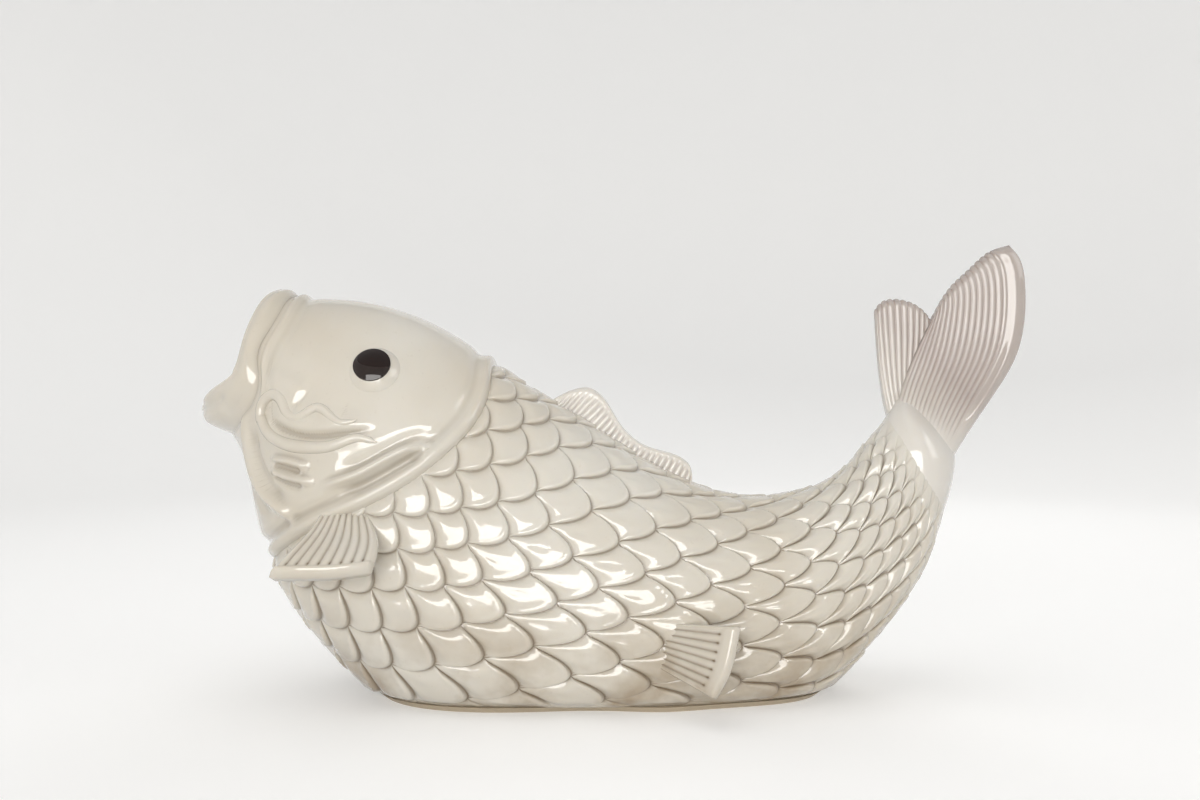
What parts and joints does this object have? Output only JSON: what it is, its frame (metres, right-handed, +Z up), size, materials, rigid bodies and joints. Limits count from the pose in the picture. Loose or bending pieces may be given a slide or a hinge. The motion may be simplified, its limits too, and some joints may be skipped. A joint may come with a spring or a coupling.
{
  "type": "carp figurine",
  "caption": "Large hollow glazed ceramic carp ornament with an open mouth, raised fins and an upturned forked tail, standing on a flat foot.",
  "frame": {"origin": "on the standing surface, under the middle of the figure", "axes": "-X towards the mouth and +X towards the tail fin, -Y towards the fish's left side, +Z up"},
  "size_m": [0.5515, 0.2382, 0.2955],
  "materials": {
    "ivory_glaze": "gloss",
    "pale_fin_glaze": "gloss",
    "dark_eye_glaze": "gloss",
    "bare_clay": "matte"
  },
  "bodies": {
    "root": {"mouth_rim": "ivory_glaze", "head": "ivory_glaze", "trunk": "ivory_glaze", "foot_ring": "bare_clay", "left_eye": "ivory_glaze", "right_eye": "ivory_glaze", "left_pupil": "dark_eye_glaze", "right_pupil": "dark_eye_glaze", "left_barbel": "ivory_glaze", "right_barbel": "ivory_glaze", "left_whisker": "ivory_glaze", "right_whisker": "ivory_glaze", "left_pectoral_fin": "ivory_glaze", "right_pectoral_fin": "ivory_glaze", "left_pelvic_fin": "ivory_glaze", "right_pelvic_fin": "ivory_glaze", "dorsal_fin": "pale_fin_glaze", "tail_fin": "pale_fin_glaze"}
  },
  "joints": []
}
